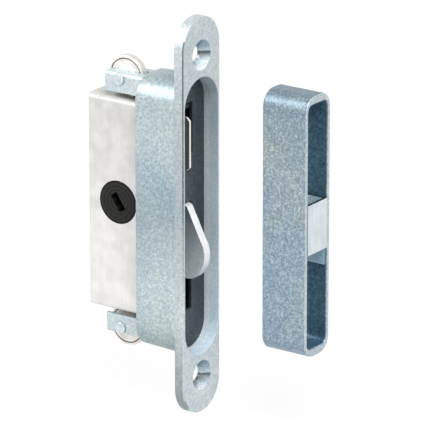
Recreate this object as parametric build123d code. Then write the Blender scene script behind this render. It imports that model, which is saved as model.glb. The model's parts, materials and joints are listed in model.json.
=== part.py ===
from build123d import *
import os
from math import atan2, ceil, cos, degrees, hypot, pi, radians, sin, sqrt

# Sliding patio door lock with its separate keeper. All lengths are millimetres.
# X is the lock's thickness, with the key side at -X. Y runs from the door's edge into the door.
# Z is up. Y = 0 is the back of the faceplate, and the origin is midway between its screw holes.

# Fits shared by several pieces
running_gap = 0.1
side_gap = 0.3
seat_gap = 0.1
cut_overrun = 1.0

# Faceplate
plate_width = 25.8
plate_thick = 4.4
plate_edge_break = 0.5
plate_end_from_screw = 15.95
screw_from_recess = 9.05
screw_bore_r = 3.2
screw_sink_r = 6.3
recess_rim = 1.3
recess_band_lap = 0.3
recess_end_lean = 1.6

# Housing band behind the faceplate
band_wall = 1.4
band_depth = 19.4
band_draft = 1.9
band_corner_taper = 3.0

# Front plate of the lock, at the bottom of the recess
front_plate_setback = 2.4
front_plate_thick = 1.5
hook_slot_above_pivot = 27.2
hook_slot_below_pivot = 19.0
trigger_slot_half_width = 3.3
trigger_slot_headroom = 6.1
trigger_slot_step_up = 7.3

# Arms and rollers
arm_half_width = 6.4
arm_wall = 1.4
arm_case_gap = 2.4
arm_depth = 8.3
arm_beyond_roller = 7.0
arm_bend_r = 1.6
roller_slot_gap = 0.9
rivet_wall_gap = 0.2
rivet_from_arm_edge = 3.6
rivet_shank_r = 1.0
rivet_head_r = 1.5
rivet_head_thick = 0.5
roller_r = 8.8
roller_thick = 3.2
roller_edge_break = 0.3
roller_hub_r = 4.6
roller_hub_step = 0.3
roller_setback = 31.9
roller_above_case = 8.0
roller_case_gap = 0.5
roller_pin_r = 1.4
roller_pin_head_r = 2.6
roller_pin_head_thick = 0.7

# Case
case_half_thick = 8.0
case_half_height = 45.4
case_length = 43.1
case_wall = 1.2
case_bend_r = 2.0
case_tab_length = 3.6
case_tab_from_rear = 6.8
case_tab_reach = 8.0
case_tab_thick = 0.9
case_relief_r = 0.9
case_relief_from_rear = 5.2
post_r = 2.0
post_spigot_r = 1.2
post_head_r = 1.9
post_head_thick = 0.4
post_from_rear = 4.6
post_behind_trigger = 3.4
post_from_end = 4.2

# Keyway barrel and its drive
cam_from_case_rear = 15.4
cam_height = 1.5
cam_face_r = 8.9
cam_collar_r = 10.5
cam_collar_thick = 1.2
cam_core_r = 5.0
cam_neck_r = 3.2
cam_proud = 0.15
key_slot_length = 8.1
key_slot_width = 3.4
key_slot_depth = 4.8
key_slot_tilt = 34.0
cam_arm_thick = 1.2
cam_arm_hub_r = 8.0
cam_arm_half_width = 3.4
drive_pin_r = 1.5
drive_radius_share = 0.51
drive_per_hook = 1.5

# Hook
hook_thick = 4.0
hook_throw = 55.0
hook_pivot_setback = 15.6
hook_pivot_height = -22.0
hook_hub_r = 7.4
hook_pin_r = 2.5
hook_pin_head_r = 3.6
hook_pin_head_thick = 0.7
hook_bush_wall = 0.7
hook_spacer_r = 5.0
hook_rim_r = 29.2
hook_claw_width = 5.8
hook_claw_tip_angle = 92.0
hook_neck_angle = 108.0
hook_nose_proud = 2.8
hook_nose_above_pivot = 6.0
hook_face_lean = 0.5
hook_face_top_above_pivot = 26.2
hook_face_end_above_pivot = 12.4
hook_belly_below_pivot = 1.0
hook_belly_back = 2.2
hook_bottom_below_pivot = 5.0
hook_bottom_bulge = 1.2
hook_window_near_r = 3.6
hook_window_far_r = 2.5
hook_window_run_in = 1.8
hook_tail_side_wall = 2.2
hook_tail_end_wall = 1.6

# Anti-slam trigger, its guide pins and spring
trigger_thick = 1.1
trigger_proud = 1.2
trigger_from_case_top = 4.5
trigger_height = 22.7
trigger_chamfer = 1.5
trigger_body_depth = 11.8
trigger_travel = 1.5
trigger_stem_half = 1.0
trigger_stem_length = 7.0
guide_pin_r = 1.5
guide_collar_r = 2.6
guide_from_rear = 3.8
guide_from_end = 4.8
spring_coil_r = 2.6
spring_wire_r = 0.35
spring_length = 12.0
spring_turns = 8
spring_seat_thick = 1.2
spring_seat_half_height = 4.0

# Keeper
keeper_width = 17.2
keeper_depth = 20.8
keeper_length = 109.5
keeper_wall = 1.7
keeper_end_wall = 3.7
keeper_corner_r = 6.8
keeper_inner_corner_r = 2.5
keeper_edge_break = 0.4
keeper_height = 7.0
keeper_standoff = 35.6
bridge_thick = 1.4
bridge_top = 10.0
bridge_bottom = -11.0
bridge_tongue_bottom = -18.0
bridge_tongue_setback = 0.3
bridge_cheek_depth = 18.0

# Places worked out from the sizes above
front_plate_rear = front_plate_setback + front_plate_thick
case_rear = front_plate_rear + case_length
case_inner_face = case_half_thick - case_wall
cam_setback = case_rear - cam_from_case_rear
pivot_to_cam = hypot(cam_setback - hook_pivot_setback, cam_height - hook_pivot_height)
drive_radius = drive_radius_share * pivot_to_cam
arm_inner_height = case_half_height + arm_case_gap
arm_outer_height = arm_inner_height + arm_depth
arm_rear = roller_setback + arm_beyond_roller
arm_slot_half_width = roller_thick / 2 + roller_hub_step + running_gap
roller_height = case_half_height + roller_above_case
rivet_spacing = 2 * (arm_half_width - arm_wall - rivet_head_r - rivet_wall_gap)
rivet_height = arm_inner_height + rivet_from_arm_edge
band_rear_half_height = arm_outer_height + seat_gap + band_wall
band_front_half_height = band_rear_half_height + band_draft
band_front_corner = plate_width / 2 - plate_edge_break
band_rear_corner = band_front_corner - band_corner_taper
recess_half_width = plate_width / 2 - recess_rim
recess_half_height = band_front_half_height - recess_band_lap
screw_spacing = 2 * (recess_half_height + screw_from_recess)
plate_length = screw_spacing + 2 * plate_end_from_screw
trigger_top = case_half_height - trigger_from_case_top
trigger_bottom = trigger_top - trigger_height
trigger_rear = front_plate_setback - trigger_proud + trigger_body_depth


def across(y):
    """A plane that faces the front at depth y, with X to the right and Z up."""
    return Plane(origin=(0, y, 0), x_dir=(1, 0, 0), z_dir=(0, -1, 0))


def slab(outline, y_front, y_rear):
    """An outline in X and Z, made solid from y_front to y_rear."""
    return extrude(across(y_rear) * outline, amount=y_rear - y_front)


def plate(outline, x_low, x_high):
    """An outline in Y and Z, made solid from x_low to x_high."""
    return extrude(Plane.YZ.offset(x_low) * outline, amount=x_high - x_low)


def block(x_low, x_high, y_low, y_high, z_low, z_high):
    """A box between six planes."""
    size = (x_high - x_low, y_high - y_low, z_high - z_low)
    middle = ((x_low + x_high) / 2, (y_low + y_high) / 2, (z_low + z_high) / 2)
    return Pos(*middle) * Box(*size)


def cross_rod(radius, x_low, x_high, y, z):
    """A round bar along X."""
    return Solid.make_cylinder(radius, x_high - x_low, Plane((x_low, y, z), z_dir=(1, 0, 0)))


def deep_rod(radius, y_low, y_high, x, z):
    """A round bar along Y."""
    return Solid.make_cylinder(radius, y_high - y_low, Plane((x, y_low, z), z_dir=(0, 1, 0)))


def deep_cone(front_r, rear_r, y_low, y_high, x, z):
    """A cone along Y."""
    return Solid.make_cone(front_r, rear_r, y_high - y_low, Plane((x, y_low, z), z_dir=(0, 1, 0)))


def polar(centre, radius, angle):
    """A point at a radius and an angle in degrees from a centre."""
    return (centre[0] + radius * cos(radians(angle)), centre[1] + radius * sin(radians(angle)))


def stadium(half_width, half_height):
    """A strip's outline with full-round ends."""
    return SlotOverall(2 * half_height, 2 * half_width, rotation=90)


def band_section(y, inset):
    """The band's outline at depth y, drawn in by inset."""
    share = y / band_depth
    half_height = band_front_half_height + share * (band_rear_half_height - band_front_half_height)
    corner = band_front_corner + share * (band_rear_corner - band_front_corner)
    return RectangleRounded(plate_width - 2 * inset, 2 * (half_height - inset), corner - inset)


def make_faceplate():
    body = slab(stadium(plate_width / 2, plate_length / 2), -plate_thick, 0)
    front_rim = body.faces().sort_by(Axis.Y)[0].outer_wire().edges()
    body = chamfer(front_rim, plate_edge_break)
    rear_height = recess_half_height - recess_end_lean
    opening = loft(
        [
            across(-plate_thick - cut_overrun) * stadium(recess_half_width, recess_half_height),
            across(cut_overrun) * stadium(recess_half_width, rear_height),
        ],
        ruled=True,
    )
    body -= opening
    sink_depth = screw_sink_r - screw_bore_r
    for z in (-screw_spacing / 2, screw_spacing / 2):
        body -= deep_rod(screw_bore_r, -plate_thick, cut_overrun, 0, z)
        body -= deep_cone(screw_sink_r, screw_bore_r, -plate_thick, sink_depth - plate_thick, 0, z)
    return body


def make_band():
    outer = loft([across(y) * band_section(y, 0) for y in (0, band_depth)], ruled=True)
    ends = (-cut_overrun, band_depth + cut_overrun)
    inner = loft([across(y) * band_section(y, band_wall) for y in ends], ruled=True)
    return outer - inner


def rivet_places():
    return [(x, z) for x in (-rivet_spacing / 2, rivet_spacing / 2) for z in (-rivet_height, rivet_height)]


def make_front_plate():
    outline = band_section(front_plate_rear, band_wall + seat_gap)
    body = slab(outline, front_plate_setback, front_plate_rear)
    low, high = front_plate_setback - cut_overrun, front_plate_rear + cut_overrun
    wide = trigger_slot_half_width
    narrow = trigger_thick / 2 + side_gap
    slot = hook_thick / 2 + side_gap
    slot_bottom = hook_pivot_height - hook_slot_below_pivot
    body -= block(-slot, slot, low, high, slot_bottom, hook_pivot_height + hook_slot_above_pivot)
    step = trigger_bottom + trigger_slot_step_up
    body -= block(-wide, wide, low, high, step, trigger_top + trigger_slot_headroom)
    body -= block(-narrow, narrow, low, high, trigger_bottom - side_gap, step + cut_overrun)
    for x, z in rivet_places():
        body -= deep_rod(rivet_shank_r, low, high, x, z)
    return body


def make_rivets():
    rivets = []
    for x, z in rivet_places():
        tail_face = front_plate_rear + arm_wall
        shank = deep_rod(rivet_shank_r, front_plate_setback, tail_face, x, z)
        low = front_plate_setback - rivet_head_thick
        head = deep_cone(rivet_shank_r, rivet_head_r, low, front_plate_setback, x, z)
        tail = deep_rod(rivet_head_r, tail_face, tail_face + rivet_head_thick, x, z)
        rivets.append(shank + head + tail)
    return Compound(children=[rivet.solid() for rivet in rivets])


def make_arm():
    half, top = arm_half_width, arm_outer_height
    outer = block(-half, half, front_plate_rear, arm_rear, arm_inner_height, top)
    long_edges = outer.edges().filter_by(Axis.Y).group_by(Axis.Z)[-1]
    outer = fillet(long_edges, arm_bend_r)
    inside = half - arm_wall
    body = outer - block(
        -inside,
        inside,
        front_plate_rear + arm_wall,
        arm_rear + cut_overrun,
        arm_inner_height - cut_overrun,
        top - arm_wall,
    )
    slot_front = roller_setback - roller_r - roller_slot_gap
    slot = arm_slot_half_width
    body -= block(-slot, slot, slot_front, arm_rear + cut_overrun, arm_inner_height, top + cut_overrun)
    body -= cross_rod(roller_pin_r, -half - cut_overrun, half + cut_overrun, roller_setback, roller_height)
    for x, z in rivet_places():
        if z > 0:
            body -= deep_rod(rivet_shank_r, front_plate_rear, arm_rear, x, z)
    return body


def make_roller():
    half = roller_thick / 2
    disc = cross_rod(roller_r, -half, half, roller_setback, roller_height)
    disc = chamfer(disc.edges(), roller_edge_break)
    reach = half + roller_hub_step
    hub = cross_rod(roller_hub_r, -reach, reach, roller_setback, roller_height)
    bore = cross_rod(
        roller_pin_r + running_gap, -reach - cut_overrun, reach + cut_overrun, roller_setback, roller_height
    )
    return disc + hub - bore


def make_roller_pin():
    half, thick = arm_half_width, roller_pin_head_thick
    place = (roller_setback, roller_height)
    shank = cross_rod(roller_pin_r, -half, half, *place)
    near_head = cross_rod(roller_pin_head_r, -half - thick, -half, *place)
    near_head = chamfer(near_head.edges().group_by(Axis.X)[0], thick / 2)
    far_head = cross_rod(roller_pin_r, half, half + thick, *place)
    return shank + near_head + far_head


def post_places():
    high = case_half_height - post_from_end
    return [
        (y, z)
        for y in (trigger_rear + trigger_travel + post_behind_trigger, case_rear - post_from_rear)
        for z in (-high, high)
    ]


def make_case():
    low, rear, half = -case_half_thick, case_rear, case_half_height
    outer = block(low, case_inner_face, front_plate_rear, rear, -half, half)
    bent = [edge for edge in outer.edges().group_by(Axis.X)[0] if edge.center().Y > front_plate_rear]
    outer = fillet(bent, case_bend_r)
    body = outer - block(
        -case_inner_face,
        case_inner_face + cut_overrun,
        front_plate_rear - cut_overrun,
        rear - case_wall,
        case_wall - half,
        half - case_wall,
    )
    through = (low - cut_overrun, -case_inner_face + cut_overrun)
    body -= cross_rod(cam_face_r + side_gap, *through, cam_setback, cam_height)
    body -= cross_rod(hook_pin_r, *through, hook_pivot_setback, hook_pivot_height)
    relief_y = rear - case_relief_from_rear
    for z in (-half, half):
        body -= Solid.make_sphere(case_relief_r, Plane((low + case_relief_r / 2, relief_y, z)))
    slot, clear_r = arm_slot_half_width, roller_r + roller_case_gap
    for z in (-roller_height, roller_height):
        body -= cross_rod(clear_r, -slot, slot, roller_setback, z)
    return body


def make_cover():
    inner, outer, half = case_inner_face, case_half_thick, case_half_height
    body = block(inner, outer, front_plate_rear, case_rear, -half, half)
    tab_rear = case_rear - case_tab_from_rear + case_tab_length
    tab_front = case_rear - case_tab_from_rear
    for low, high in ((half, half + case_tab_thick), (-half - case_tab_thick, -half)):
        body += block(outer - case_tab_reach, outer, tab_front, tab_rear, low, high)
    through = (inner - cut_overrun, outer + cut_overrun)
    body -= cross_rod(cam_face_r + side_gap, *through, cam_setback, cam_height)
    body -= cross_rod(hook_pin_r, *through, hook_pivot_setback, hook_pivot_height)
    for y, z in post_places():
        body -= cross_rod(post_spigot_r, *through, y, z)
    return body


def make_posts():
    posts = []
    for y, z in post_places():
        post = cross_rod(post_r, -case_inner_face, case_inner_face, y, z)
        post += cross_rod(post_spigot_r, case_inner_face, case_half_thick, y, z)
        post += cross_rod(post_head_r, case_half_thick, case_half_thick + post_head_thick, y, z)
        posts.append(post)
    return Compound(children=[post.solid() for post in posts])


def key_slot_outline():
    blade = Rectangle(key_slot_width, key_slot_length)
    return Pos(cam_setback, cam_height) * Rot(0, 0, -key_slot_tilt) * blade


def make_cam():
    place = (cam_setback, cam_height)
    face = case_half_thick + cam_proud
    collar_face = case_inner_face - running_gap
    collar_back = collar_face - cam_collar_thick
    neck = hook_thick / 2 + side_gap
    body = cross_rod(cam_neck_r, -neck, neck, *place)
    for low, high in ((-face, -neck), (neck, face)):
        body += cross_rod(cam_core_r, low, high, *place)
    for low, high in ((-face, -collar_back), (collar_back, face)):
        body += cross_rod(cam_face_r, low, high, *place)
    for low, high in ((-collar_face, -collar_back), (collar_back, collar_face)):
        body += cross_rod(cam_collar_r, low, high, *place)
    floor, over = face - key_slot_depth, face + cut_overrun
    for low, high in ((-over, -floor), (floor, over)):
        body -= plate(key_slot_outline(), low, high)
    return body


def pivot():
    return (hook_pivot_setback, hook_pivot_height)


def cam_centre():
    return (cam_setback, cam_height)


def centre_line_angle():
    """Direction from the hook's pivot to the barrel's centre."""
    return degrees(atan2(cam_height - hook_pivot_height, cam_setback - hook_pivot_setback))


def drive_pin_place():
    """Half of the barrel's turn short of the centre line, so that the drive is even about it."""
    angle = centre_line_angle() + 180 + hook_throw * drive_per_hook / 2
    return polar(cam_centre(), drive_radius, angle)


def cam_arm_span():
    low = hook_thick / 2 + side_gap
    return (low, low + cam_arm_thick)


def make_cam_arm():
    centre, tip = cam_centre(), drive_pin_place()
    middle = ((centre[0] + tip[0]) / 2, (centre[1] + tip[1]) / 2)
    turn = degrees(atan2(tip[1] - centre[1], tip[0] - centre[0]))
    bar = Pos(*middle) * Rot(0, 0, turn) * SlotCenterToCenter(drive_radius, 2 * cam_arm_half_width)
    outline = bar + Pos(*centre) * Circle(cam_arm_hub_r)
    outline -= Pos(*centre) * Circle(cam_core_r)
    outline -= Pos(*tip) * Circle(drive_pin_r)
    return plate(outline, *cam_arm_span())


def make_drive_pin():
    return cross_rod(drive_pin_r, -hook_thick / 2, cam_arm_span()[1], *drive_pin_place())


def window_angle():
    """Direction of the tail's window at rest, so that the pin crosses the centre line at half throw."""
    return centre_line_angle() - hook_throw / 2


def window_radii():
    """Nearest and farthest place of the drive pin from the hook's pivot."""
    tip = drive_pin_place()
    farthest = hypot(tip[0] - hook_pivot_setback, tip[1] - hook_pivot_height)
    return (pivot_to_cam - drive_radius, farthest)


def hook_face_setback(height):
    """Depth of the hook's straight front face at a height."""
    top = hook_pivot_height + hook_face_top_above_pivot
    return front_plate_setback - side_gap * 2 + hook_face_lean * (height - top)


def hook_blade():
    """The blade: straight face, blunt nose and belly in front, a claw round the rim above."""
    centre = pivot()
    nose = (-plate_thick - hook_nose_proud, hook_pivot_height + hook_nose_above_pivot)
    face_end_height = hook_pivot_height + hook_face_end_above_pivot
    face_end = (hook_face_setback(face_end_height), face_end_height)
    belly = (nose[0] + hook_belly_back, hook_pivot_height - hook_belly_below_pivot)
    bottom = (front_plate_setback, hook_pivot_height - hook_bottom_below_pivot)
    between = ((belly[0] + bottom[0]) / 2, (belly[1] + bottom[1]) / 2)
    bulge = (between[0] - hook_bottom_bulge / 2, between[1] - hook_bottom_bulge)
    under_hub = polar(centre, hook_hub_r, -95)
    crown_height = crown_on_rim()
    crown = (hook_face_setback(crown_height), crown_height)
    crown_angle = degrees(atan2(crown[1] - centre[1], crown[0] - centre[0]))
    inner_r = hook_rim_r - hook_claw_width
    claw_tip = polar(centre, hook_rim_r, hook_claw_tip_angle)
    claw_inner = polar(centre, inner_r, hook_claw_tip_angle)
    neck = polar(centre, inner_r, hook_neck_angle)
    rim_middle = polar(centre, hook_rim_r, (crown_angle + hook_claw_tip_angle) / 2)
    inner_middle = polar(centre, inner_r, (hook_claw_tip_angle + hook_neck_angle) / 2)
    edges = [
        Line(crown, face_end),
        ThreePointArc(face_end, nose, belly),
        ThreePointArc(belly, bulge, bottom),
        Line(bottom, under_hub),
        Line(under_hub, centre),
        Line(centre, polar(centre, hook_hub_r, hook_neck_angle - 25)),
        Line(polar(centre, hook_hub_r, hook_neck_angle - 25), neck),
        ThreePointArc(neck, inner_middle, claw_inner),
        Line(claw_inner, claw_tip),
        ThreePointArc(claw_tip, rim_middle, crown),
    ]
    return make_face(edges)


def crown_on_rim():
    """Height at which the straight face meets the rim circle about the pivot."""
    lean = hook_face_lean
    depth_at_zero = hook_face_setback(0) - hook_pivot_setback
    a = 1 + lean * lean
    b = 2 * (lean * depth_at_zero - hook_pivot_height)
    c = depth_at_zero**2 + hook_pivot_height**2 - hook_rim_r**2
    return (-b + sqrt(b * b - 4 * a * c)) / (2 * a)


def rounded_taper(centre, angle, rounds):
    """The shape that a band round several circles has. The circles lie along one line from a centre."""
    circles = [Pos(*polar(centre, reach, angle)) * Circle(radius) for reach, radius in rounds]
    return make_hull([circle.edge() for circle in circles])


def make_hook():
    centre, angle = pivot(), window_angle()
    near, far = window_radii()
    near += hook_window_run_in
    near_wall_r = hook_window_near_r + hook_tail_side_wall
    far_wall_r = hook_window_far_r + hook_tail_end_wall
    window = rounded_taper(centre, angle, [(near, hook_window_near_r), (far, hook_window_far_r)])
    tail = rounded_taper(centre, angle, [(0, hook_hub_r), (near, near_wall_r), (far, far_wall_r)])
    outline = hook_blade() + tail
    outline -= window
    outline -= Pos(*centre) * Circle(hook_pin_r + running_gap + hook_bush_wall)
    return plate(outline, -hook_thick / 2, hook_thick / 2)


def make_hook_bush():
    half = hook_thick / 2 + side_gap
    inner = hook_pin_r + running_gap
    ring = cross_rod(inner + hook_bush_wall, -half, half, *pivot())
    return ring - cross_rod(inner, -half - cut_overrun, half + cut_overrun, *pivot())


def make_hook_pin():
    half, thick = case_half_thick, hook_pin_head_thick
    body = cross_rod(hook_pin_r, -half, half, *pivot())
    body += cross_rod(hook_pin_head_r, -half - thick, -half, *pivot())
    body += cross_rod(hook_pin_head_r, half, half + thick, *pivot())
    return body


def make_hook_spacers():
    start = hook_thick / 2 + side_gap + running_gap
    end = case_inner_face
    rings = []
    for low, high in ((start, end), (-end, -start)):
        ring = cross_rod(hook_spacer_r, low, high, *pivot())
        rings.append(ring - cross_rod(hook_pin_r, low - cut_overrun, high + cut_overrun, *pivot()))
    return Compound(children=[ring.solid() for ring in rings])


def guide_places():
    y = trigger_rear - guide_from_rear
    return [(y, z) for z in (trigger_bottom + guide_from_end, trigger_top - guide_from_end)]


def trigger_middle():
    return (trigger_bottom + trigger_top) / 2


def make_trigger():
    front, rear, middle = front_plate_setback - trigger_proud, trigger_rear, trigger_middle()
    half = trigger_thick / 2
    body = block(-half, half, front, rear, trigger_bottom, trigger_top)
    corners = body.edges().filter_by(Axis.X).group_by(Axis.Y)[0]
    body = chamfer(corners, trigger_chamfer)
    stem = trigger_stem_half
    body += block(-half, half, rear, rear + trigger_stem_length, middle - stem, middle + stem)
    for y, z in guide_places():
        slot = SlotCenterToCenter(trigger_travel, 2 * (guide_pin_r + running_gap))
        body -= plate(Pos(y - trigger_travel / 2, z) * slot, -half - cut_overrun, half + cut_overrun)
    return body


def make_guide_pins():
    neck = trigger_thick / 2 + running_gap
    pins = []
    for y, z in guide_places():
        pin = cross_rod(guide_pin_r, -neck, neck, y, z)
        pin += cross_rod(guide_collar_r, neck, case_inner_face, y, z)
        pin += cross_rod(guide_collar_r, -case_inner_face, -neck, y, z)
        pins.append(pin)
    return Compound(children=[pin.solid() for pin in pins])


def make_spring():
    """One round wire wound about the stem, with its ends square to the seat and the trigger."""
    start = trigger_rear + spring_wire_r + seat_gap
    height = spring_length - 2 * (spring_wire_r + seat_gap)
    pitch = height / spring_turns
    print("trigger spring, least gap between turns:", round(pitch - 2 * spring_wire_r, 3))
    base = Plane((0, start, trigger_middle()), x_dir=(1, 0, 0), z_dir=(0, 1, 0))
    path = base * Helix(pitch, height, spring_coil_r)
    section = Plane(path @ 0, z_dir=path % 0) * Circle(spring_wire_r)
    return sweep(section, path)


def make_spring_seat():
    low = trigger_rear + spring_length
    wall, middle, half = case_inner_face, trigger_middle(), spring_seat_half_height
    return block(-wall, wall, low, low + spring_seat_thick, middle - half, middle + half)


def keeper_rear():
    return -plate_thick - keeper_standoff


def make_keeper_box():
    rear = keeper_rear()
    front = rear - keeper_depth
    body = slab(RectangleRounded(keeper_width, keeper_length, keeper_corner_r), front, rear)
    rims = body.edges().filter_by(lambda edge: abs(edge.center().Y - front) < keeper_edge_break)
    body = chamfer(rims, keeper_edge_break)
    mouth = (keeper_width - 2 * keeper_wall, keeper_length - 2 * keeper_end_wall)
    pocket = RectangleRounded(*mouth, keeper_inner_corner_r)
    body -= slab(pocket, front - cut_overrun, rear + cut_overrun)
    return Pos(0, 0, keeper_height) * body


def make_keeper_bridge():
    front = keeper_rear() - keeper_depth
    half = keeper_width / 2 - keeper_wall - seat_gap / 2
    body = block(-half, half, front, front + bridge_thick, bridge_bottom, bridge_top)
    rear, inner = front + bridge_cheek_depth, half - bridge_thick
    for low, high in ((-half, -inner), (inner, half)):
        body += block(low, high, front, rear, bridge_bottom, bridge_top)
    tongue_front = front + bridge_tongue_setback
    body += block(inner, half, tongue_front, rear, bridge_tongue_bottom, bridge_bottom)
    return Pos(0, 0, keeper_height) * body


def turned_over(body):
    """The same piece at the lock's bottom end."""
    return mirror(body, Plane.XY)


nodes = {
    "faceplate": make_faceplate(),
    "housing_band": make_band(),
    "lock_front_plate": make_front_plate(),
    "arm_rivets": make_rivets(),
    "top_arm": make_arm(),
    "bottom_arm": turned_over(make_arm()),
    "top_roller": make_roller(),
    "bottom_roller": turned_over(make_roller()),
    "top_roller_pin": make_roller_pin(),
    "bottom_roller_pin": turned_over(make_roller_pin()),
    "lock_case": make_case(),
    "case_cover": make_cover(),
    "case_posts": make_posts(),
    "keyway_cam": make_cam(),
    "cam_arm": make_cam_arm(),
    "cam_drive_pin": make_drive_pin(),
    "hook": make_hook(),
    "hook_bush": make_hook_bush(),
    "hook_pivot_pin": make_hook_pin(),
    "hook_spacers": make_hook_spacers(),
    "anti_slam_trigger": make_trigger(),
    "trigger_guide_pins": make_guide_pins(),
    "trigger_spring": make_spring(),
    "trigger_spring_seat": make_spring_seat(),
    "keeper_box": make_keeper_box(),
    "keeper_bridge": make_keeper_bridge(),
}

os.makedirs("parts", exist_ok=True)
for name, body in nodes.items():
    export_step(body, f"parts/{name}.step")
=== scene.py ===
import bpy
import bmesh
import json
import math
import numpy as np
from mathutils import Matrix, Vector

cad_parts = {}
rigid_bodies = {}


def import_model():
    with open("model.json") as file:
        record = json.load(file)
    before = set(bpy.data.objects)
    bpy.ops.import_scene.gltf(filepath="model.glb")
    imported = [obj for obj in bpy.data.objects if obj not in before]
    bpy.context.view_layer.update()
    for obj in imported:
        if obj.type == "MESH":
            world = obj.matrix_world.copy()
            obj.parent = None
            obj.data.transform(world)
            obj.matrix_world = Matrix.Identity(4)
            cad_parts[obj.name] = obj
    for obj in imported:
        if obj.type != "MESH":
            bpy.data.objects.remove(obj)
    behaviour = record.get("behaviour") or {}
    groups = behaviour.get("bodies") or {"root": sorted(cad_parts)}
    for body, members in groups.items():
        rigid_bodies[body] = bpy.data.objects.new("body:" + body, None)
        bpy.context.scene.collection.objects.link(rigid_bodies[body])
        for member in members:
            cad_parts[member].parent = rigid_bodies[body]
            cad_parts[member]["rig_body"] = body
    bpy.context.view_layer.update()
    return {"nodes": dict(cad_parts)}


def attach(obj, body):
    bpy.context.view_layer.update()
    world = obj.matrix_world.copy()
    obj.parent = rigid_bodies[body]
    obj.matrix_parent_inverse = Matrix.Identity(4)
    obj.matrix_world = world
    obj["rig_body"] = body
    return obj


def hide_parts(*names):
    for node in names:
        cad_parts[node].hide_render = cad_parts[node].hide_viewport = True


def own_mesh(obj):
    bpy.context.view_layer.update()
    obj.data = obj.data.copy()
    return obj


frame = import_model()
mm = 0.001
print("frame loaded,", len(frame["nodes"]), "solids")


# colours are written as they look on screen, 0 to 255
def tone(red, green, blue):
    parts = [c / 255 for c in (red, green, blue)]
    return tuple(c / 12.92 if c <= 0.04045 else ((c + 0.055) / 1.055) ** 2.4 for c in parts) + (1.0,)


def tones(*colours):
    return [tone(*colour) for colour in colours]


# small helpers for node materials
def newFinish(name):
    mat = bpy.data.materials.new(name)
    mat.use_nodes = True
    tree = mat.node_tree
    tree.nodes.clear()
    out = tree.nodes.new("ShaderNodeOutputMaterial")
    shader = tree.nodes.new("ShaderNodeBsdfPrincipled")
    tree.links.new(shader.outputs["BSDF"], out.inputs["Surface"])
    coords = tree.nodes.new("ShaderNodeTexCoord")
    return mat, tree, shader, coords.outputs["Object"]


def placed(tree, source, scale=(1, 1, 1), shift=(0, 0, 0)):
    node = tree.nodes.new("ShaderNodeMapping")
    node.inputs["Scale"].default_value = scale
    node.inputs["Location"].default_value = shift
    tree.links.new(source, node.inputs["Vector"])
    return node.outputs["Vector"]


def noise(tree, source, scale, detail, rough):
    node = tree.nodes.new("ShaderNodeTexNoise")
    node.inputs["Scale"].default_value = scale
    node.inputs["Detail"].default_value = detail
    node.inputs["Roughness"].default_value = rough
    tree.links.new(source, node.inputs["Vector"])
    return node.outputs["Fac"]


def cells(tree, source, scale):
    node = tree.nodes.new("ShaderNodeTexVoronoi")
    node.feature = "SMOOTH_F1"
    node.inputs["Scale"].default_value = scale
    tree.links.new(source, node.inputs["Vector"])
    return node.outputs["Distance"]


# rings about the X axis, one every pitch: at scale 1 the wave texture has 20 / (2 pi) rings a unit
def ringsAboutX(tree, source, pitch):
    node = tree.nodes.new("ShaderNodeTexWave")
    node.wave_type = "RINGS"
    node.rings_direction = "X"
    node.inputs["Scale"].default_value = 2 * math.pi / 20 / pitch
    node.inputs["Distortion"].default_value = 0.6
    node.inputs["Detail"].default_value = 2.0
    node.inputs["Detail Scale"].default_value = 2.0
    tree.links.new(source, node.inputs["Vector"])
    return node.outputs["Fac"]


# stops are pairs of a place from 0 to 1 and a colour
def ramp(tree, source, stops):
    node = tree.nodes.new("ShaderNodeValToRGB")
    line = node.color_ramp
    while len(line.elements) < len(stops):
        line.elements.new(0.5)
    for element, (place, colour) in zip(line.elements, stops):
        element.position = place
        element.color = colour
    tree.links.new(source, node.inputs["Fac"])
    return node.outputs["Color"]


def blendColours(tree, share, first, second, kind="MIX"):
    node = tree.nodes.new("ShaderNodeMix")
    node.data_type = "RGBA"
    node.blend_type = kind
    node.inputs["Factor"].default_value = share
    tree.links.new(first, node.inputs["A"])
    tree.links.new(second, node.inputs["B"])
    return node.outputs["Result"]


# most values of a noise lie in this span, which is spread over low to high
noiseSpan = (0.3, 0.7)


def spread(tree, source, low, high):
    node = tree.nodes.new("ShaderNodeMapRange")
    node.inputs["From Min"].default_value, node.inputs["From Max"].default_value = noiseSpan
    node.inputs["To Min"].default_value = low
    node.inputs["To Max"].default_value = high
    tree.links.new(source, node.inputs["Value"])
    return node.outputs["Result"]


# 0 at the height low, 1 at the height high
def upward(tree, source, low, high):
    parts = tree.nodes.new("ShaderNodeSeparateXYZ")
    tree.links.new(source, parts.inputs[0])
    node = tree.nodes.new("ShaderNodeMapRange")
    node.inputs["From Min"].default_value = low
    node.inputs["From Max"].default_value = high
    tree.links.new(parts.outputs["Z"], node.inputs["Value"])
    return node.outputs["Result"]


# painted shade: a slow change of tone with height, where a look asks for one
# a grade is (low, high, tones evenly spaced from low to high)
def paintedShadeByHeight(tree, source, base, look):
    if "grade" not in look:
        return base
    low, high, *shades = look["grade"]
    height = upward(tree, source, low, high)
    stops = [(k / (len(shades) - 1), shade) for k, shade in enumerate(shades)]
    return blendColours(tree, 1.0, base, ramp(tree, height, stops), "MULTIPLY")


def bumpBy(tree, shader, source, strength, height):
    node = tree.nodes.new("ShaderNodeBump")
    node.inputs["Strength"].default_value = strength
    node.inputs["Distance"].default_value = height
    tree.links.new(source, node.inputs["Height"])
    tree.links.new(node.outputs["Normal"], shader.inputs["Normal"])


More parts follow.
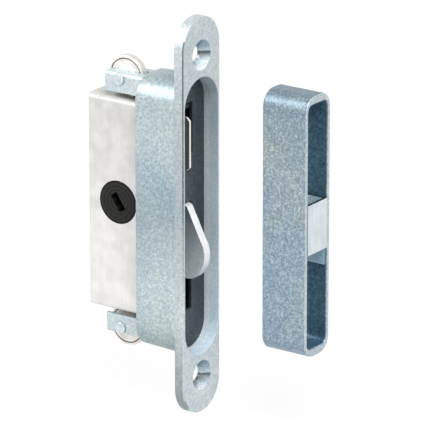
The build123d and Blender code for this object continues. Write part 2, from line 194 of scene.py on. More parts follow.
# zinc plating: cloudy patches, a faint spangle and a fine grain
def zincFinish(name, look):
    mat, tree, shader, here = newFinish(name)
    cloud = noise(tree, here, look["cloudScale"], 4.0, 0.6)
    spangle = cells(tree, here, look["spangleScale"])
    grain = noise(tree, here, look["grainScale"], 2.0, 0.5)
    base = ramp(tree, cloud, [(0.36, look["dark"]), (0.52, look["middle"]), (0.66, look["light"])])
    spots = ramp(tree, spangle, [(0.15, look["light"]), (0.6, look["dark"])])
    base = blendColours(tree, look["spangleShare"], base, spots)
    specks = ramp(tree, grain, [(0.35, tone(200, 200, 200)), (0.6, tone(255, 255, 255))])
    base = blendColours(tree, look["grainShare"], base, specks, "MULTIPLY")
    wide = noise(tree, here, look["driftScale"], 2.0, 0.5)
    drift = ramp(tree, wide, [(0.38, look["cool"]), (0.62, look["warm"])])
    base = paintedShadeByHeight(tree, here, blendColours(tree, 1.0, base, drift, "MULTIPLY"), look)
    tree.links.new(base, shader.inputs["Base Color"])
    tree.links.new(spread(tree, cloud, *look["roughness"]), shader.inputs["Roughness"])
    shader.inputs["Metallic"].default_value = look["metallic"]
    bumpBy(tree, shader, grain, look["bump"], 0.03 * mm)
    return mat


# rolled or brushed sheet: streaks along Z over a slight cloud
def brushedFinish(name, look):
    mat, tree, shader, here = newFinish(name)
    streakPlace = placed(tree, here, look["streak"])
    streaks = noise(tree, streakPlace, 1.0, 3.0, 0.6)
    cloud = noise(tree, here, look["cloudScale"], 3.0, 0.5)
    base = ramp(tree, streaks, [(0.3, look["dark"]), (0.5, look["middle"]), (0.7, look["light"])])
    clouds = ramp(tree, cloud, [(0.35, tone(232, 232, 232)), (0.65, tone(255, 255, 255))])
    base = blendColours(tree, 0.7, base, clouds, "MULTIPLY")
    base = paintedShadeByHeight(tree, here, base, look)
    tree.links.new(base, shader.inputs["Base Color"])
    tree.links.new(spread(tree, streaks, *look["roughness"]), shader.inputs["Roughness"])
    shader.inputs["Metallic"].default_value = look["metallic"]
    bumpBy(tree, shader, streaks, look["bump"], 0.02 * mm)
    return mat


# countersunk screw seats: a painted reflection, each cone going from pale below, through a dark band, to
# grey blue above
def sinkReflectionFinish(name, look):
    mat, tree, shader, here = newFinish(name)
    parts = tree.nodes.new("ShaderNodeSeparateXYZ")
    tree.links.new(here, parts.inputs[0])
    side = tree.nodes.new("ShaderNodeMath")
    side.operation = "SIGN"
    tree.links.new(parts.outputs["Z"], side.inputs[0])
    fromScrew = tree.nodes.new("ShaderNodeMath")
    fromScrew.operation = "MULTIPLY_ADD"
    fromScrew.inputs[1].default_value = -look["bandHeight"]
    tree.links.new(side.outputs[0], fromScrew.inputs[0])
    tree.links.new(parts.outputs["Z"], fromScrew.inputs[2])
    share = tree.nodes.new("ShaderNodeMapRange")
    share.inputs["From Min"].default_value = -look["radius"]
    share.inputs["From Max"].default_value = look["radius"]
    tree.links.new(fromScrew.outputs[0], share.inputs["Value"])
    grain = noise(tree, here, 2400.0, 2.0, 0.5)
    base = ramp(tree, share.outputs["Result"], look["stops"])
    specks = ramp(tree, grain, [(0.35, tone(222, 222, 222)), (0.6, tone(255, 255, 255))])
    base = blendColours(tree, 0.6, base, specks, "MULTIPLY")
    tree.links.new(base, shader.inputs["Base Color"])
    tree.links.new(spread(tree, grain, *look["roughness"]), shader.inputs["Roughness"])
    shader.inputs["Metallic"].default_value = look["metallic"]
    return mat


# lathe-turned face: rings about the piece's own axis
def turnedFinish(name, look, centre):
    mat, tree, shader, here = newFinish(name)
    centred = placed(tree, here, (1, 1, 1), (0, -centre[0], -centre[1]))
    rings = ringsAboutX(tree, centred, look["pitch"])
    cloud = noise(tree, here, 400.0, 3.0, 0.5)
    base = ramp(tree, rings, [(0.1, look["dark"]), (0.55, look["light"])])
    clouds = ramp(tree, cloud, [(0.35, look["smudge"]), (0.6, tone(255, 255, 255))])
    base = blendColours(tree, 0.8, base, clouds, "MULTIPLY")
    tree.links.new(base, shader.inputs["Base Color"])
    tree.links.new(spread(tree, cloud, *look["roughness"]), shader.inputs["Roughness"])
    shader.inputs["Metallic"].default_value = look["metallic"]
    bumpBy(tree, shader, rings, look["bump"], look["height"])
    return mat


# moulded plastic: fine skin texture with turned rings about the axis
def plasticFinish(name, look, centre):
    mat, tree, shader, here = newFinish(name)
    centred = placed(tree, here, (1, 1, 1), (0, -centre[0], -centre[1]))
    rings = ringsAboutX(tree, centred, look["pitch"])
    skin = noise(tree, here, 2200.0, 3.0, 0.6)
    base = ramp(tree, rings, [(0.1, look["dark"]), (0.7, look["light"])])
    scuffs = ramp(tree, skin, [(0.35, tone(190, 190, 190)), (0.65, tone(255, 255, 255))])
    base = blendColours(tree, 0.6, base, scuffs, "MULTIPLY")
    tree.links.new(base, shader.inputs["Base Color"])
    tree.links.new(spread(tree, skin, 0.36, 0.52), shader.inputs["Roughness"])
    shader.inputs["Specular IOR Level"].default_value = 0.2
    bumpBy(tree, shader, rings, look["bump"], look["height"])
    return mat


# the looks: settings of the finishes, beside one another because they are made from a few
# a look made from another by three new tones and other changes
def varied(base, dark, middle, light, **changes):
    return dict(base, dark=tone(*dark), middle=tone(*middle), light=tone(*light), **changes)


white = (255, 255, 255)
zincLook = {
    "cloudScale": 760.0, "spangleScale": 1500.0, "spangleShare": 0.35,
    "grainScale": 3000.0, "grainShare": 0.6, "driftScale": 45.0,
    "cool": tone(238, 243, 246), "warm": tone(255, 254, 251),
    "roughness": (0.32, 0.46), "metallic": 0.5, "bump": 0.2,
}
# painted shade: the faceplate's front a little darker towards its top
plateLook = varied(zincLook, (178, 190, 195), (202, 212, 215), (222, 229, 231), cool=tone(245, 248, 250),
                   grade=(-84 * mm, 84 * mm, *tones(white, (244, 245, 246))))
# painted light and shade: the faceplate's left side changes tone step by step with height, darkest at its
# foot
sideLightAndShadeLook = dict(plateLook, grade=(-84 * mm, 84 * mm, *tones(
    (182, 184, 184), (206, 208, 208), (250, 250, 250), (235, 235, 235), (219, 220, 222), (222, 223, 224),
    (224, 225, 226), (242, 243, 244), white)))
# painted light and shade: the band's tone changes step by step with height, darkest at its foot
bandLook = varied(zincLook, (159, 176, 182), (187, 202, 207), (216, 228, 231),
                  grade=(-60 * mm, 60 * mm, *tones(
                      (197, 204, 200), (243, 245, 244), white, (236, 238, 240), (213, 218, 221),
                      (228, 231, 233), (255, 253, 250), (243, 243, 243), (228, 228, 226))))
# painted shade: the bottom arm a little darker at its lowest part
armLook = varied(zincLook, (186, 199, 203), (208, 219, 222), (226, 234, 236),
                 grade=(-60 * mm, -40 * mm, *tones((240, 241, 242), white)))
# painted shade: the keeper darkest at its top and a little darker low down, with slight tints by height
keeperLook = varied(zincLook, (121, 140, 152), (151, 168, 179), (201, 212, 220), cloudScale=1000.0,
                    cool=tone(232, 241, 249), warm=tone(255, 253, 246),
                    grade=(-48 * mm, 62 * mm, *tones(
                        (236, 240, 248), (238, 242, 249), (242, 245, 250), (248, 249, 251), (255, 252, 248),
                        (255, 252, 247), (255, 251, 246), (255, 251, 244), (252, 248, 238), (246, 243, 236),
                        (204, 208, 212))))
# painted light: a much paler, less metallic copy of the zinc for the walls of the faceplate's opening, with
# painted shade towards the top
wallPaintedLightLook = varied(zincLook, (206, 226, 240), (226, 242, 252), (244, 251, 255), metallic=0.15,
                  grade=(-50 * mm, 50 * mm, *tones(white, (184, 188, 190))))
# painted light: a still paler copy for the band's inner faces, deep in the opening
bandWallPaintedLightLook = varied(wallPaintedLightLook, (232, 244, 252), (244, 252, 255), (252, 255, 255))
rimLook = varied(zincLook, (166, 178, 185), (188, 198, 203), (208, 216, 220))
# painted shade: a darker line along the faceplate's broken left edge, darker towards the top
lineShadeLook = varied(zincLook, (176, 186, 190), (196, 205, 208), (214, 221, 223),
                  grade=(-35 * mm, 10 * mm, *tones(white, (146, 148, 150))))
# painted shade: a dark ring round the roller pins' heads
pinRimShadeLook = varied(zincLook, (96, 106, 110), (118, 128, 132), (142, 152, 155))
# painted shade: dark teal for the keeper's inner faces and the bridge's cheeks
pocketShadeLook = varied(zincLook, (60, 92, 112), (80, 116, 136), (106, 142, 160))
# painted light: a pale copy for the face of the far cheek that looks back across the pocket
tongueLitLook = varied(zincLook, (186, 216, 232), (208, 234, 248), (230, 246, 255))
# painted shade: near black for the bridge's faces that look up
ledgeShadeLook = varied(zincLook, (26, 44, 56), (36, 56, 68), (50, 70, 82))
# painted shade: dark slate for the lock's front plate and rivets, set back behind the faceplate's opening
slateShadeLook = varied(zincLook, (50, 60, 65), (64, 76, 81), (84, 96, 101))
# painted shade: the hook's sides darker towards the top
hookSideLook = varied(zincLook, (220, 231, 235), (238, 247, 250), (252, 254, 255),
                      grade=(-27 * mm, 3 * mm, *tones(white, (120, 128, 136))))
caseLook = {
    "streak": (2200.0, 2200.0, 70.0), "cloudScale": 160.0,
    "roughness": (0.38, 0.52), "metallic": 0.35, "bump": 0.25,
}
# painted shade: the case a little darker towards its top
sheetLook = varied(caseLook, (215, 213, 209), (219, 217, 214), (224, 223, 221),
                   grade=(-45 * mm, 45 * mm, *tones(white, (231, 232, 232))))
bridgeLook = varied(caseLook, (184, 194, 198), (197, 206, 209), (210, 217, 220))
edgeLook = varied(caseLook, (228, 232, 234), (238, 241, 242), (247, 248, 249))
# painted shade: the hook's edge greyer towards its lower end
hookEdgeLook = dict(edgeLook, grade=(-29 * mm, -1 * mm, *tones((168, 175, 178), (246, 245, 243), white)))
# painted shade: dark brown for the trigger's flat sides
finSideShadeLook = varied(caseLook, (96, 88, 80), (116, 106, 97), (140, 130, 120))
# painted shade: near black for the case's inward faces and the parts inside the case
innerShadeLook = varied(caseLook, (50, 55, 58), (62, 67, 70), (78, 83, 86))
studLook = varied(caseLook, (172, 175, 176), (190, 193, 194), (208, 210, 210))
# painted reflection: the tones of each seat's cone, from pale below through a dark band to grey blue above
sinkReflectionLook = {
    "bandHeight": 68.85 * mm, "radius": 6.3 * mm, "roughness": (0.24, 0.36), "metallic": 0.6,
    "stops": [(0.0, tone(236, 244, 248)), (0.15, tone(206, 219, 227)), (0.32, tone(124, 133, 136)),
              (0.46, tone(60, 69, 72)), (0.52, tone(182, 196, 204)), (0.71, tone(150, 168, 180)),
              (0.95, tone(122, 144, 160))],
}
rollerLook = {
    "dark": tone(212, 209, 203), "light": tone(240, 238, 234), "smudge": tone(226, 224, 220),
    "pitch": 0.55 * mm, "roughness": (0.3, 0.45), "metallic": 0.4, "bump": 0.4, "height": 0.03 * mm,
}
# painted shade: a dark line for the rollers' grooves
grooveShadeLook = dict(rollerLook, dark=tone(88, 84, 78), light=tone(112, 108, 102))
pinLook = dict(rollerLook, dark=tone(176, 190, 196), light=tone(206, 217, 222), pitch=0.8 * mm)
barrelLook = {
    "dark": tone(16, 16, 15), "light": tone(34, 34, 32),
    "pitch": 1.7 * mm, "bump": 0.6, "height": 0.12 * mm,
}

finishes = {
    "plate": zincFinish("faceplateZinc", plateLook),
    "side": zincFinish("faceplateSideLightAndShade", sideLightAndShadeLook),
    "keeper": zincFinish("keeperZinc", keeperLook),
    "pocket": zincFinish("keeperPocketShade", pocketShadeLook),
    "tongue": zincFinish("cheekTongueLit", tongueLitLook),
    "arm": zincFinish("armZinc", armLook),
    "slate": zincFinish("slateZincShade", slateShadeLook),
    "wall": zincFinish("recessWallPaintedLight", wallPaintedLightLook),
    "rim": zincFinish("keeperRim", rimLook),
    "line": zincFinish("edgeLineShade", lineShadeLook),
    "pinRimShade": zincFinish("pinRimShade", pinRimShadeLook),
    "sink": sinkReflectionFinish("screwSinkReflection", sinkReflectionLook),
    "case": brushedFinish("caseSheet", sheetLook),
    "bridge": brushedFinish("bridgeSheet", bridgeLook),
    "ledge": zincFinish("bridgeLedgeShade", ledgeShadeLook),
    "edge": brushedFinish("shearedEdge", edgeLook),
    "hookSide": zincFinish("hookSide", hookSideLook),
    "hookEdge": brushedFinish("hookEdge", hookEdgeLook),
    "finSide": brushedFinish("triggerSideShade", finSideShadeLook),
    "inner": brushedFinish("innerSteelShade", innerShadeLook),
    "stud": brushedFinish("studSteel", studLook),
    "band": zincFinish("bandZinc", bandLook),
    "bandWallPaintedLight": zincFinish("bandWallPaintedLight", bandWallPaintedLightLook),
}
print("finishes made")


# a modelled mesh that stands for a node: faceSlots gives each face the number of its material
meshSharp = 35.0


def addPiece(name, verts, faces, body, node, materials, faceSlots):
    mesh = bpy.data.meshes.new(name)
    mesh.from_pydata(verts.tolist(), [], faces)
    mesh.update()
    work = bmesh.new()
    work.from_mesh(mesh)
    bmesh.ops.recalc_face_normals(work, faces=work.faces)
    work.to_mesh(mesh)
    work.free()
    for material in materials:
        mesh.materials.append(material)
    mesh.polygons.foreach_set("material_index", np.asarray(faceSlots, dtype=np.int32))
    mesh.polygons.foreach_set("use_smooth", np.ones(len(mesh.polygons), dtype=bool))
    mesh.set_sharp_from_angle(angle=math.radians(meshSharp))
    piece = bpy.data.objects.new(name, mesh)
    bpy.context.scene.collection.objects.link(piece)
    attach(piece, body)
    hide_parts(node)


# faces of a grid of rows by columns that closes both ways
def gridFaces(rows, columns):
    i, j = np.meshgrid(np.arange(rows), np.arange(columns), indexing="ij")
    i2, j2 = (i + 1) % rows, (j + 1) % columns
    quads = np.stack([i * columns + j, i2 * columns + j, i2 * columns + j2, i * columns + j2], axis=-1)
    return quads.reshape(-1, 4).tolist()


# a rounded rectangle read at even steps: four corner arcs joined by straight runs
# an arc's point at the angle t is (sx (w - c) + c cos t, sz (h - c) + c sin t)
outline = {"arcSteps": 14, "runSteps": 12}


def roundedOutline(halfWide, halfHigh, corner):
    quarter = np.linspace(0, math.pi / 2, outline["arcSteps"])
    arcs = []
    for turn, (sx, sz) in enumerate(((1, 1), (-1, 1), (-1, -1), (1, -1))):
        angle = quarter + turn * math.pi / 2
        x = sx * (halfWide - corner) + corner * np.cos(angle)
        z = sz * (halfHigh - corner) + corner * np.sin(angle)
        arcs.append(np.stack([x, z], axis=1))
    full = []
    for k in range(4):
        start, end = arcs[k][-1], arcs[(k + 1) % 4][0]
        share = np.linspace(0, 1, outline["runSteps"] + 2)[1:-1, None]
        full += [arcs[k], start + (end - start) * share]
    return np.concatenate(full)


# a wall carried round a rounded rectangle: each profile row gives half sizes, corner and depth
# point k of a row is (outline x, depth, outline z + height)
def wallLoop(profile, height=0.0):
    rings = []
    for halfWide, halfHigh, corner, depth in profile:
        flat = roundedOutline(halfWide, halfHigh, corner)
        rings.append(np.stack([flat[:, 0], np.full(len(flat), depth), flat[:, 1] + height], axis=1))
    grid = np.stack(rings)
    return grid.reshape(-1, 3) * mm, gridFaces(grid.shape[0], grid.shape[1]), grid.shape[:2]


# quarter-round steps from one side of a rim to the other, as (inwards, back from the mouth)
rimCount = 4


def rimSteps(radius):
    angle = np.linspace(0, math.pi / 2, rimCount)
    return [(radius * (1 - math.cos(a)), radius * (1 - math.sin(a))) for a in angle]


# housing band: outline and corner shrink towards the rear, wall 1.4 thick, rear rim rounded
band = {"halfWide": 12.9, "frontHalf": 59.5, "rearHalf": 57.6, "frontCorner": 12.4, "rearCorner": 9.4,
        "depth": 19.4, "wall": 1.4, "rim": 0.45, "slices": 10}


def bandPoint(inset, y):
    share = y / band["depth"]
    half = band["frontHalf"] + share * (band["rearHalf"] - band["frontHalf"])
    corner = band["frontCorner"] + share * (band["rearCorner"] - band["frontCorner"])
    return (band["halfWide"] - inset, half - inset, corner - inset, y)


depth, rim = band["depth"], band["rim"]
bandRows = [bandPoint(0, y) for y in np.linspace(0, depth - rim, band["slices"])]
bandRows += [bandPoint(a, depth - b) for a, b in rimSteps(rim)[1:]]
bandRows += [bandPoint(band["wall"] - a, depth - b) for a, b in reversed(rimSteps(rim))]
bandRows += [bandPoint(band["wall"], y) for y in np.linspace(depth - 2 * rim, 0, band["slices"])]
verts, faces, shape = wallLoop(bandRows)
# the band's inner faces take the band wall finish, a painted light
bandInner = np.repeat(np.arange(shape[0]) >= shape[0] - band["slices"], shape[1])
addPiece("bandSkin", verts, faces, "lock_body", "housing_band",
         [finishes["band"], finishes["bandWallPaintedLight"]], bandInner.astype(int))

# keeper loop: side walls 1.7, end walls 3.7, rounded rims at both mouths
# rimReach is how far a rim's rounding goes in, as a share of its radius
# rimRows is how many rows of faces take the rim's finish, from each side of a mouth's middle
keeper = {"halfWide": 8.6, "halfHigh": 54.75, "corner": 6.8,
          "sideWall": 1.7, "endWall": 3.7, "innerCorner": 2.5,
          "front": -60.8, "rear": -40.0, "rim": 0.6, "rimReach": 0.75, "rimRows": 2,
          "height": 7.0, "slices": 8}


# share goes from 0 at the outer face to 1 at the inner face
def keeperPoint(share, y):
    halfWide = keeper["halfWide"] - share * keeper["sideWall"]
    halfHigh = keeper["halfHigh"] - share * keeper["endWall"]
    corner = keeper["corner"] + share * (keeper["innerCorner"] - keeper["corner"])
    return (halfWide, halfHigh, corner, y)


rimShare = keeper["rim"] / keeper["sideWall"] * keeper["rimReach"]
front, rear, rim = keeper["front"], keeper["rear"], keeper["rim"]
rimCurve = [(a / rim * rimShare, b) for a, b in rimSteps(rim)]
keeperRows = [keeperPoint(s, front + b) for s, b in reversed(rimCurve)]
keeperRows += [keeperPoint(0, y) for y in np.linspace(front + rim, rear - rim, keeper["slices"])[1:-1]]
keeperRows += [keeperPoint(s, rear - b) for s, b in rimCurve]
keeperRows += [keeperPoint(1 - s, rear - b) for s, b in reversed(rimCurve)]
keeperRows += [keeperPoint(1, y) for y in np.linspace(rear - rim, front + rim, keeper["slices"])[1:-1]]
keeperRows += [keeperPoint(1 - s, front + b) for s, b in rimCurve]
verts, faces, shape = wallLoop(keeperRows, keeper["height"])
firstInner = len(keeperRows) // 2 + rimCount - 1
rearMouth = firstInner - rimCount
rowOfFace = np.repeat(np.arange(shape[0]), shape[1])
# the inner faces take the pocket finish, a painted shade
keeperFaces = ((rowOfFace >= firstInner) & (rowOfFace < shape[0] - rimCount)).astype(int)
rimFaces = (rowOfFace < keeper["rimRows"]) | (rowOfFace >= shape[0] - keeper["rimRows"])
rimFaces |= np.abs(rowOfFace - rearMouth) < keeper["rimRows"]
keeperFaces[rimFaces] = 2
addPiece("keeperLoop", verts, faces, "keeper_body", "keeper_box",
         [finishes["keeper"], finishes["pocket"], finishes["rim"]], keeperFaces)


# rollers: the profile is turned about X, with a shallow groove inside the rim and a raised hub
# grooveRows are the rows of one side's profile that lie in the groove
roller = {"centre": (31.9, 53.4), "half": 1.6, "radius": 8.8, "round": 0.3, "rimSteps": 5, "groove": 7.6,
          "grooveHalf": 0.26, "grooveDeep": 0.22, "grooveRows": (4, 5, 6), "hub": 4.6, "hubStep": 0.3,
          "hubRound": 0.15, "hubFoot": 0.1, "bore": 1.5, "steps": 96}


# a profile of (x, r) pairs turned about X: y = centreY + r cos t, z = centreZ + r sin t
def turned(profile, centreY, centreZ, steps):
    angle = np.linspace(0, 2 * math.pi, steps, endpoint=False)
    x = np.array([p[0] for p in profile])[:, None] + 0 * angle
    r = np.array([p[1] for p in profile])[:, None]
    grid = np.stack([x, centreY + r * np.cos(angle), centreZ + r * np.sin(angle)], axis=-1)
    return grid.reshape(-1, 3) * mm, gridFaces(len(profile), steps)


def rollerSide():
    half, hub = roller["half"], roller["hub"]
    hubFace, grooveFloor = half + roller["hubStep"], half - roller["grooveDeep"]
    groove, width = roller["groove"], roller["grooveHalf"]
    side = [(hubFace, roller["bore"]), (hubFace, hub - roller["hubRound"]),
            (half + roller["hubRound"], hub), (half, hub + roller["hubFoot"]),
            (half, groove - width), (grooveFloor, groove - width / 2),
            (grooveFloor, groove + width / 2), (half, groove + width)]
    for a in np.linspace(0, math.pi / 2, roller["rimSteps"]):
        x = half - roller["round"] * (1 - math.cos(a))
        side.append((x, roller["radius"] - roller["round"] * (1 - math.sin(a))))
    return side


right = rollerSide()
profile = [(-x, r) for x, r in right] + list(reversed(right))
row = np.repeat(np.arange(len(profile)), roller["steps"])
# the groove's faces take the groove finish, a painted shade
inGroove = np.isin(np.minimum(row, len(profile) - 2 - row), roller["grooveRows"])
for name, sign in (("top_roller", 1), ("bottom_roller", -1)):
    y, z = roller["centre"][0], sign * roller["centre"][1]
    verts, faces = turned(profile, y, z, roller["steps"])
    disc = turnedFinish(name + "Steel", rollerLook, (y * mm, z * mm))
    line = turnedFinish(name + "GrooveShade", grooveShadeLook, (y * mm, z * mm))
    addPiece(name + "Disc", verts, faces, name + "_body", name,
             [disc, line], inGroove.astype(int))
print("band, keeper and rollers made")


# a solid copied as one closed skin, with its sharp edges softened by a bevel
# merge is in millimetres, flat and sharp are angles in degrees
skin = {"merge": 0.002, "flat": 1.0, "sharp": 32.0, "bevelSteps": 2}


def dressed(node, edge, materials, byFace=None, smoothOnly=False):
    cad = frame["nodes"][node]
    mesh = cad.data.copy()
    mesh.name = node + "Skin"
    work = bmesh.new()
    work.from_mesh(mesh)
    bmesh.ops.remove_doubles(work, verts=work.verts, dist=skin["merge"] * mm)
    if not smoothOnly:
        flat = math.radians(skin["flat"])
        bmesh.ops.dissolve_limit(work, angle_limit=flat, verts=work.verts, edges=work.edges)
    work.to_mesh(mesh)
    work.free()
    mesh.materials.clear()
    for material in materials:
        mesh.materials.append(material)
    count = len(mesh.polygons)
    faceSlots = np.zeros(count, dtype=np.int32)
    if byFace:
        normals = np.empty(count * 3)
        centres = np.empty(count * 3)
        mesh.polygons.foreach_get("normal", normals)
        mesh.polygons.foreach_get("center", centres)
        faceSlots = byFace(normals.reshape(-1, 3), centres.reshape(-1, 3)).astype(np.int32)
    mesh.polygons.foreach_set("material_index", faceSlots)
    mesh.polygons.foreach_set("use_smooth", np.ones(count, dtype=bool))
    mesh.set_sharp_from_angle(angle=math.radians(skin["sharp"]))
    piece = bpy.data.objects.new(node + "Skin", mesh)
    bpy.context.scene.collection.objects.link(piece)
    if edge:
        bevel = piece.modifiers.new("softEdge", "BEVEL")
        bevel.width = edge * mm
        bevel.segments = skin["bevelSteps"]
        bevel.limit_method = "ANGLE"
        bevel.angle_limit = math.radians(skin["sharp"])
        bevel.harden_normals = True
    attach(piece, cad["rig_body"])
    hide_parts(node)
    return piece


# face pickers: from the faces' normals and centres, each gives every face the number of its material
# a face looks partly or fully along an axis where that part of its normal is over these
partly, fully = 0.5, 0.9


# faces across a thickness take a part's second finish, which on the roller pins is a painted shade ring
def edgeFaces(normals, centres):
    return np.abs(normals[:, 0]) < partly


# the bridge's cheeks lie below this height
cheekTop = -4.1


# painted light and shade: the cheeks and faces across X take the pocket's painted shade, the far cheek's
# face looking back the tongue's painted light, and faces looking up the ledge's painted shade
def bridgeFaces(normals, centres):
    pocket = (np.abs(normals[:, 0]) > partly) | (centres[:, 2] < cheekTop * mm)
    tongue = (normals[:, 0] < -partly) & (centres[:, 0] > 0)
    ledge = normals[:, 2] > fully
    return np.where(ledge, 3, pocket.astype(int) + tongue)


# the case: half the width between its sides, the depth of its middle, and a depth just behind its front rim
case = {"betweenHalf": 7.7, "middle": 24.0, "frontRim": 4.0}


# faces between the case's sides take the inner finish, a painted shade
def betweenSides(normals, centres):
    return np.abs(centres[:, 0]) < case["betweenHalf"] * mm


# faces that look into the case, and the front rim just behind the faceplate, take the inner finish, a
# painted shade
def caseFaces(normals, centres):
    fromMiddle = centres - np.array((0, case["middle"], 0)) * mm
    frontRim = (normals[:, 1] < -fully) & (centres[:, 1] < case["frontRim"] * mm)
    return ((fromMiddle * normals).sum(axis=1) < 0) | frontRim


# the faceplate: where its broken outer edge, its screw sinks and its opening's walls lie
plate = {"breakHalf": 11.7, "breakDepth": -3.85, "screwHeight": 68.25, "sinkRadius": 6.35,
         "openingHalfWide": 11.75, "openingHalfHigh": 59.6, "breakLean": (0.25, 0.3), "upright": 0.95}


# the broken left edge takes a painted shade line, the sinks a painted reflection, the opening's walls a
# painted light, and the left side painted light and shade
def plateFaces(normals, centres):
    acrossLean, frontLean = plate["breakLean"]
    leans = (normals[:, 0] < -acrossLean) & (normals[:, 1] < -frontLean)
    fromMiddle, height = np.abs(centres[:, 0]), np.abs(centres[:, 2])
    leftBreak = leans & (centres[:, 1] < plate["breakDepth"] * mm) & (fromMiddle > plate["breakHalf"] * mm)
    upright = np.abs(normals[:, 1]) < plate["upright"]
    fromScrew = np.hypot(centres[:, 0], height - plate["screwHeight"] * mm)
    sink = (fromScrew < plate["sinkRadius"] * mm) & upright
    inOpening = (fromMiddle < plate["openingHalfWide"] * mm) & (height < plate["openingHalfHigh"] * mm)
    wall = inOpening & upright
    side = upright & (normals[:, 0] < -partly) & ~leftBreak & ~sink & ~wall
    return leftBreak + 2 * sink + 3 * wall + 4 * side


camCentre = (31.6 * mm, 1.5 * mm)
barrelPlastic = plasticFinish("barrelPlastic", barrelLook, camCentre)
# the parts inside the case and the lock's front plate take dark finishes, a painted shade
# each solid's softened edge in millimetres, its finishes, and the picker that shares them out
plan = {
    "faceplate": (0.12, ["plate", "line", "sink", "wall", "side"], plateFaces),
    "lock_front_plate": (0.12, ["slate"], None),
    "arm_rivets": (0.12, ["slate"], None),
    "top_arm": (0.18, ["arm"], None),
    "bottom_arm": (0.18, ["arm"], None),
    "lock_case": (0.18, ["case", "inner"], caseFaces),
    "case_cover": (0.18, ["case", "inner"], caseFaces),
    "case_posts": (0.1, ["stud", "inner"], betweenSides),
    "cam_arm": (0.12, ["inner"], None),
    "cam_drive_pin": (0.1, ["inner"], None),
    "hook": (0.22, ["hookSide", "hookEdge"], edgeFaces),
    "hook_bush": (0.08, ["inner"], None),
    "hook_pivot_pin": (0.12, ["stud", "inner"], betweenSides),
    "hook_spacers": (0.1, ["inner"], None),
    "anti_slam_trigger": (0.1, ["finSide", "edge"], edgeFaces),
    "trigger_guide_pins": (0.1, ["inner"], None),
    "trigger_spring_seat": (0.1, ["inner"], None),
    "keeper_bridge": (0.2, ["bridge", "pocket", "tongue", "ledge"], bridgeFaces),
}
for node, (edge, names, byFace) in plan.items():
    dressed(node, edge, [finishes[n] for n in names], byFace)
dressed("keyway_cam", 0.15, [barrelPlastic])
# the spring, which shortens by the trigger's travel as it is pressed, gets a mesh of its own
coil = dressed("trigger_spring", 0, [finishes["stud"]], smoothOnly=True)
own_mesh(coil)
# the pins' heads get a ring of painted shade round their rims
for node, sign in (("top_roller_pin", 1), ("bottom_roller_pin", -1)):
    y, z = roller["centre"][0], sign * roller["centre"][1]
    finish = turnedFinish(node + "Zinc", pinLook, (y * mm, z * mm))
    dressed(node, 0.12, [finish, finishes["pinRimShade"]], edgeFaces)
print("solids dressed")

# floor, light and camera
stage = {"floorTone": (0.95, 0.95, 0.95, 1), "floorRough": 0.9, "floorShine": 0.1,
         "floorHeight": -84.2 * mm, "reach": 6.0, "ambient": 0.55, "glowShare": 0.93}


# 1 for a camera, reflection or transmission ray, and 0 for any other
def seenDirectly(tree):
    path = tree.nodes.new("ShaderNodeLightPath")
    seen = path.outputs["Is Camera Ray"]
    for kind in ("Is Glossy Ray", "Is Transmission Ray"):
        either = tree.nodes.new("ShaderNodeMath")
        either.operation = "MAXIMUM"
        tree.links.new(seen, either.inputs[0])
        tree.links.new(path.outputs[kind], either.inputs[1])
        seen = either.outputs[0]
    return seen


def mixed(tree, share, first, second):
    node = tree.nodes.new("ShaderNodeMixShader")
    tree.links.new(share, node.inputs["Fac"])
    tree.links.new(first, node.inputs[1])
    tree.links.new(second, node.inputs[2])
    return node.outputs[0]


bpy.ops.mesh.primitive_plane_add(size=stage["reach"], location=(0, 0, stage["floorHeight"]))
floor = bpy.context.object
floor.name = "paleFloor"
floorMat, tree, shader, here = newFinish("paleFloor")
shader.inputs["Base Color"].default_value = stage["floorTone"]
shader.inputs["Roughness"].default_value = stage["floorRough"]
shader.inputs["Specular IOR Level"].default_value = stage["floorShine"]
glow = tree.nodes.new("ShaderNodeEmission")
glow.inputs["Color"].default_value = (1, 1, 1, 1)
glow.inputs["Strength"].default_value = 1.0
portion = tree.nodes.new("ShaderNodeMath")
portion.operation = "MULTIPLY"
portion.inputs[1].default_value = stage["glowShare"]
tree.links.new(seenDirectly(tree), portion.inputs[0])
floorLook = mixed(tree, portion.outputs[0], shader.outputs["BSDF"], glow.outputs[0])
floorOut = [n for n in tree.nodes if n.type == "OUTPUT_MATERIAL"][0]
tree.links.new(floorLook, floorOut.inputs["Surface"])
floor.data.materials.append(floorMat)

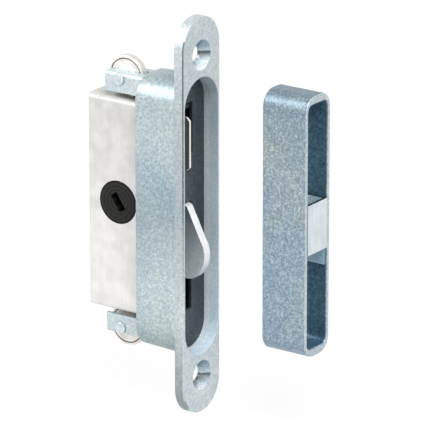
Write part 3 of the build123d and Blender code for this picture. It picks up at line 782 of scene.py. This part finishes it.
world = bpy.data.worlds.new("softRoom")
bpy.context.scene.world = world
world.use_nodes = True
tree = world.node_tree
tree.nodes.clear()
out = tree.nodes.new("ShaderNodeOutputWorld")
backgrounds = []
for strength in (stage["ambient"], 1.0):
    node = tree.nodes.new("ShaderNodeBackground")
    node.inputs["Color"].default_value = (1, 1, 1, 1)
    node.inputs["Strength"].default_value = strength
    backgrounds.append(node.outputs[0])
tree.links.new(mixed(tree, seenDirectly(tree), *backgrounds), out.inputs["Surface"])


# square lamps aimed at the origin: place and size in metres, power in watts
lamps = {
    "keyLamp": {"place": (-0.5, -0.55, 1.1), "size": 0.5, "power": 13.0},
    "fillLamp": {"place": (-0.35, -1.1, 0.1), "size": 0.8, "power": 4.0},
    "rearLamp": {"place": (-0.72, 0.67, 0.76), "size": 0.7, "power": 8.0},
}
for name, setting in lamps.items():
    lamp = bpy.data.lights.new(name, "AREA")
    lamp.shape = "SQUARE"
    lamp.size = setting["size"]
    lamp.energy = setting["power"]
    holder = bpy.data.objects.new(name, lamp)
    bpy.context.scene.collection.objects.link(holder)
    holder.location = setting["place"]
    holder.rotation_euler = (-Vector(setting["place"])).to_track_quat("-Z", "Y").to_euler()

# angles in degrees, target and distance in millimetres
camera = {"azimuth": -55.0, "elevation": 18.5, "target": (0.0, -10.98, 2.01), "distance": 1929.6,
          "lens": 400.0, "sensor": 36.0, "farthest": 20.0}
azimuth, elevation = math.radians(camera["azimuth"]), math.radians(camera["elevation"])
level = math.cos(elevation)
away = Vector((math.sin(azimuth) * level, -math.cos(azimuth) * level, math.sin(elevation)))
eye = bpy.data.cameras.new("photoCamera")
eye.lens = camera["lens"]
eye.sensor_width = camera["sensor"]
eye.sensor_fit = "HORIZONTAL"
eye.clip_end = camera["farthest"]
holder = bpy.data.objects.new("photoCamera", eye)
bpy.context.scene.collection.objects.link(holder)
target = Vector(camera["target"]) * mm
holder.location = target + away * camera["distance"] * mm
holder.rotation_euler = (-away).to_track_quat("-Z", "Y").to_euler()
bpy.context.scene.camera = holder
bpy.context.scene.view_settings.view_transform = "Standard"
print("floor, light and camera set")
